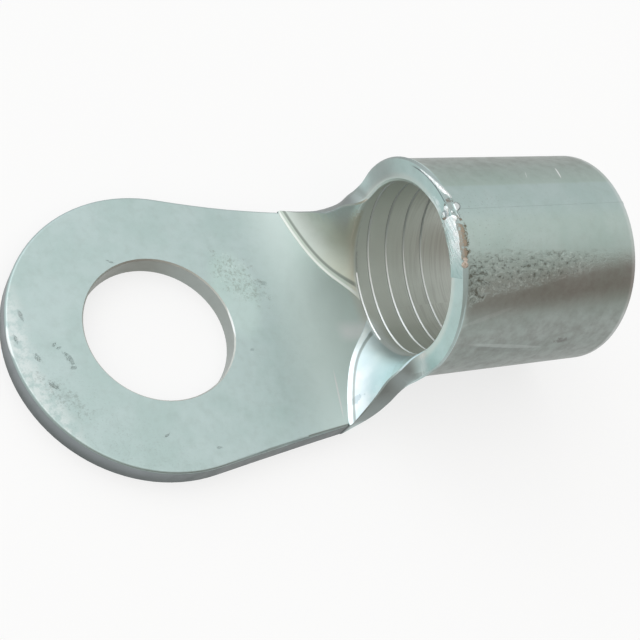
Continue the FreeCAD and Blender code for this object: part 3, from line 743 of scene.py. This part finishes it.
def tin_plate():
    """Tin plate with the marks of forming, brazing and handling, and painted light and shade; later layers
    cover earlier ones.
    """
    material = new_material("tin_plate")
    plate = Plate(material)
    brightened = plate.lit_tongue()
    inside = plate.bore()
    grooves = plate.grooves()
    plate.drawn_lines(inside)
    plate.dull_shaded_barrel()
    plate.brown_shaded_barrel()
    band = plate.pits()
    plate.fine_pits()
    plate.flux_stain()
    spots = plate.braze_spots()
    marks = plate.scuffs()
    plate.handled_flat()
    plate.scratches()
    plate.rolled_lines()
    plate.shaded_hole_wall()
    plate.shaded_ring_side()
    plate.upper_edges()
    plate.lit_inner_edge()
    flank, far_flank = plate.painted_neck_flanks()
    plate.crease(flank, far_flank)
    plate.outer_edge()
    plate.rim_marks()
    plate.rim_faces()
    shoulder = plate.shoulder_cut()

    plate.roughen(plate.times(band, 0.7), 0.5)
    plate.roughen(marks, 0.5)
    plate.roughen(inside, 0.45)
    plate.roughen(grooves, 0.9)
    plate.roughen(brightened, 0.5)
    plate.roughen(flank, plate.step(plate.x, 16.5, 18.5, 0.32, 0.42))
    plate.roughen(shoulder, 0.5)
    plate.roughen(spots, 0.15)
    plate.surface(plate.colour, 1.0, plate.rough, plate.height)
    return material


# Braze at the mouth: the spike's places and radii, then each lump's place and three radii
SPIKE = [
    ((19.34, 5.75, 16.60), 0.05), ((19.33, 4.85, 17.16), 0.09), ((19.33, 3.85, 17.73), 0.13),
    ((19.36, 2.95, 18.14), 0.18), ((19.46, 2.20, 18.38), 0.23), ((19.62, 1.60, 18.50), 0.26),
    ((19.80, 1.15, 18.56), 0.20),
]
LUMPS = [
    ((19.26, 0.10, 17.85), (0.24, 0.40, 0.50)), ((19.26, 0.42, 18.25), (0.18, 0.32, 0.32)),
    ((19.62, -0.05, 18.44), (0.34, 0.36, 0.35)), ((19.50, -0.62, 18.46), (0.30, 0.36, 0.32)),
]
BEAD = [((19.42, -4.42, 17.68), (0.30, 0.27, 0.27)), ((19.50, -4.05, 17.88), (0.2, 0.22, 0.18))]
CREST = 18.79
BRAZE_GRAIN = 0.045
BEAD_GRAIN = 0.04
SOFTEN_TIMES = 6
SOFTEN_SHARE = 0.5
WOBBLE = 0.03
WOBBLE_SCALE = 1400

# The film that ran down the rim's face: degrees from the top, radii, how proud it stands, its depth
FILM_FROM = 2
FILM_SPAN = 33
FILM_INNER_R = 7.62
FILM_WIDE = 1.62
FILM_PROUD = 0.19
FILM_LEAST = 0.03
FILM_SUNK = 0.02
FILM_TAPER = 2.2
FILM_BACK = 0.15
FILM_STEPS = 40
FILM_ROWS = 12

# The braze in the butt seam: its ends, foot, skin and half width, and how much the last two waver
SEAM_START = 19.4
SEAM_END = REAR_X - 0.3
SEAM_FOOT = 18.6
SEAM_SKIN = BARREL_R - 0.009
SEAM_HALF = 0.15
SKIN_WAVER = 0.003
HALF_WAVER = 0.01
SEAM_STEPS = 220
SEAM_ROWS = 6


def join_rings(bm, rings):
    """Walls between one ring of points and the next, and a cap at each end."""
    for low, high in zip(rings, rings[1:]):
        for k in range(len(low)):
            after = (k + 1) % len(low)
            bm.faces.new((low[k], low[after], high[after], high[k]))
    bm.faces.new(list(reversed(rings[0])))
    bm.faces.new(rings[-1])


def add_tube(bm, path, sides=12):
    rings = []
    for i, (place, radius) in enumerate(path):
        before = Vector(path[max(i - 1, 0)][0])
        after = Vector(path[min(i + 1, len(path) - 1)][0])
        along = (after - before).normalized()
        side = along.cross(Vector((1, 0, 0))).normalized()
        over = along.cross(side)
        ring = []
        for k in range(sides):
            turn = 2 * math.pi * k / sides
            spoke = math.cos(turn) * side + math.sin(turn) * over
            ring.append(bm.verts.new(Vector(place) + radius * spoke))
        rings.append(ring)
    join_rings(bm, rings)


def add_film(bm):
    """The braze that ran down the rim's face: a low rounded strip between two angles."""
    front, back = [], []
    for i in range(FILM_STEPS + 1):
        share = i / FILM_STEPS
        angle = math.radians(FILM_FROM + FILM_SPAN * share)
        ends = min(1.0, FILM_TAPER * (1 - share))
        for j in range(FILM_ROWS + 1):
            across = j / FILM_ROWS
            radius = FILM_INNER_R + FILM_WIDE * across
            proud = (FILM_PROUD * ends + FILM_LEAST) * (1 - (2 * across - 1) ** 2) - FILM_SUNK
            y = -radius * math.sin(angle)
            z = AXIS_Z + radius * math.cos(angle)
            front.append(bm.verts.new((MOUTH_X - proud, y, z)))
            back.append(bm.verts.new((MOUTH_X + FILM_BACK, y, z)))
    row = FILM_ROWS + 1
    for i in range(FILM_STEPS):
        for j in range(FILM_ROWS):
            a, b, c, d = i * row + j, i * row + j + 1, (i + 1) * row + j + 1, (i + 1) * row + j
            bm.faces.new((front[a], front[b], front[c], front[d]))
            bm.faces.new((back[d], back[c], back[b], back[a]))
    border = [i * row for i in range(FILM_STEPS + 1)]
    border += [FILM_STEPS * row + j for j in range(1, row)]
    border += [i * row + FILM_ROWS for i in range(FILM_STEPS - 1, -1, -1)]
    border += [j for j in range(FILM_ROWS - 1, 0, -1)]
    for a, b in zip(border, border[1:] + border[:1]):
        bm.faces.new((front[b], front[a], back[a], back[b]))


def add_drops(bm, drops):
    for place, radii in drops:
        shape = Matrix.Translation(place) @ Matrix.Diagonal((*radii, 1))
        bmesh.ops.create_icosphere(bm, subdivisions=3, radius=1.0, matrix=shape)


def melted(piece, grain):
    """The piece's parts melted into one smooth skin, as a mesh of its own."""
    melt = piece.modifiers.new("melt", "REMESH")
    melt.mode = "VOXEL"
    melt.voxel_size = grain * MM
    soften = piece.modifiers.new("soften", "SMOOTH")
    soften.iterations = SOFTEN_TIMES
    soften.factor = SOFTEN_SHARE
    skin = bpy.data.meshes.new_from_object(piece.evaluated_get(bpy.context.evaluated_depsgraph_get()))
    piece.modifiers.clear()
    return skin


def as_piece(name, bm, material, grain=None, smooth=True):
    """A riding piece from a mesh in millimetres; with a grain its parts are melted together."""
    for vertex in bm.verts:
        vertex.co *= MM
    bmesh.ops.recalc_face_normals(bm, faces=bm.faces)
    data = bpy.data.meshes.new(name)
    bm.to_mesh(data)
    bm.free()
    piece = bpy.data.objects.new(name, data)
    bpy.context.scene.collection.objects.link(piece)
    if grain is not None:
        piece.data = melted(piece, grain)
        piece.data.name = name
    piece.data.materials.clear()
    piece.data.materials.append(material)
    for face in piece.data.polygons:
        face.use_smooth = smooth
    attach(piece, "root")
    return piece


# Colours of the braze and its flux
BRAZE = (0.72, 0.80, 0.80)
BRAZE_LIGHT = (0.90, 0.93, 0.93)
BRAZE_THIN = (0.53, 0.65, 0.64)
# Painted shade round the braze blob
BLOB_RIM_SHADE = (0.22, 0.27, 0.29)
DIP_BROWN = (0.30, 0.20, 0.14)
BEAD_BROWN = (0.34, 0.27, 0.20)
BEAD_PALE = (0.62, 0.53, 0.46)

# Marks on the braze, in y and z
# The blob and its core bound a ring of painted shade
BLOB = ((0.10, 17.88), (0.44, 0.55))
BLOB_CORE = ((0.12, 17.85), (0.30, 0.32))
DIPS = [((0.86, 18.5), (0.16, 0.5)), ((-0.16, 17.75), (0.14, 0.35), 20)]
STREAK_HIGH = 0.12


def braze_metal():
    """Bright braze: thin where it ran down, a ring of painted shade round the blob, and brown with flux in
    the dips.
    """
    material = new_material("braze_metal")
    nodes = Nodes(material.node_tree)
    where = nodes.place()
    x, y, z = nodes.split(where)
    cloud = nodes.noise(where, 1.6, 3.0, 0.6)
    colour = nodes.tint(nodes.step(cloud, 0.35, 0.65), BRAZE, BRAZE_LIGHT)
    ran_down = nodes.step(y, -2.6, -4.6)
    colour = nodes.tint(ran_down, colour, BRAZE_THIN)
    shaded_ring = nodes.times(nodes.blot(y, z, *BLOB), nodes.minus(1.0, nodes.blot(y, z, *BLOB_CORE)))
    colour = nodes.tint(nodes.times(shaded_ring, 0.8), colour, BLOB_RIM_SHADE)
    dip = nodes.most(*[nodes.blot(y, z, *place) for place in DIPS])
    colour = nodes.tint(nodes.times(dip, 0.75), colour, DIP_BROWN)
    stretched = nodes.point(nodes.times(x, 2.0), nodes.times(y, 0.5), nodes.times(z, 3.0))
    streaks = nodes.noise(stretched, 2.0, 3.0, 0.6)
    rough = nodes.mix(ran_down, nodes.step(streaks, 0.3, 0.7, 0.14, 0.26), 0.38)
    nodes.surface(colour, 1.0, rough, nodes.times(streaks, STREAK_HIGH))
    return material


def flux_glass():
    """Glassy flux, brown and pale in clouds."""
    material = new_material("flux_bead")
    nodes = Nodes(material.node_tree)
    cloud = nodes.noise(nodes.place(), 3.0, 3.0, 0.6)
    colour = nodes.tint(nodes.step(cloud, 0.35, 0.65), BEAD_BROWN, BEAD_PALE)
    nodes.surface(colour, 0.0, nodes.step(cloud, 0.3, 0.7, 0.18, 0.35))
    return material


def add_braze():
    """Spike, film and lumps as one piece, no higher than the barrel's top line."""
    bm = bmesh.new()
    add_tube(bm, SPIKE)
    add_film(bm)
    add_drops(bm, LUMPS)
    piece = as_piece("braze_at_mouth", bm, braze_metal(), BRAZE_GRAIN)
    for vertex in piece.data.vertices:
        wobble = noise.noise(vertex.co * WOBBLE_SCALE) * WOBBLE
        vertex.co += vertex.normal * wobble * MM
        vertex.co.z = min(vertex.co.z, CREST * MM)


def add_bead():
    bm = bmesh.new()
    add_drops(bm, BEAD)
    as_piece("flux_bead", bm, flux_glass(), BEAD_GRAIN)


def add_seam_fill(material):
    """The braze along the butt seam, a hair below the barrel's skin."""
    bm = bmesh.new()
    rings = []
    for i in range(SEAM_STEPS + 1):
        x = SEAM_START + (SEAM_END - SEAM_START) * i / SEAM_STEPS
        skin = SEAM_SKIN + SKIN_WAVER * noise.noise(Vector((x * 0.9, 0, 0)))
        half = SEAM_HALF + HALF_WAVER * noise.noise(Vector((x * 1.7, 5, 0)))
        across = [-half + 2 * half * k / SEAM_ROWS for k in range(SEAM_ROWS + 1)]
        top = [(y, AXIS_Z + math.sqrt(skin ** 2 - y ** 2)) for y in across]
        profile = [(-half, SEAM_FOOT)] + top + [(half, SEAM_FOOT)]
        rings.append([bm.verts.new((x, y, z)) for y, z in profile])
    join_rings(bm, rings)
    as_piece("seam_fill", bm, material, smooth=False)


add_camera()
add_floor()
add_world()
add_sun()

tin = tin_plate()
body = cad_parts["terminal_body"]
body.data.materials.clear()
body.data.materials.append(tin)
add_braze()
add_bead()
add_seam_fill(tin)

bpy.context.scene.view_settings.view_transform = "Standard"
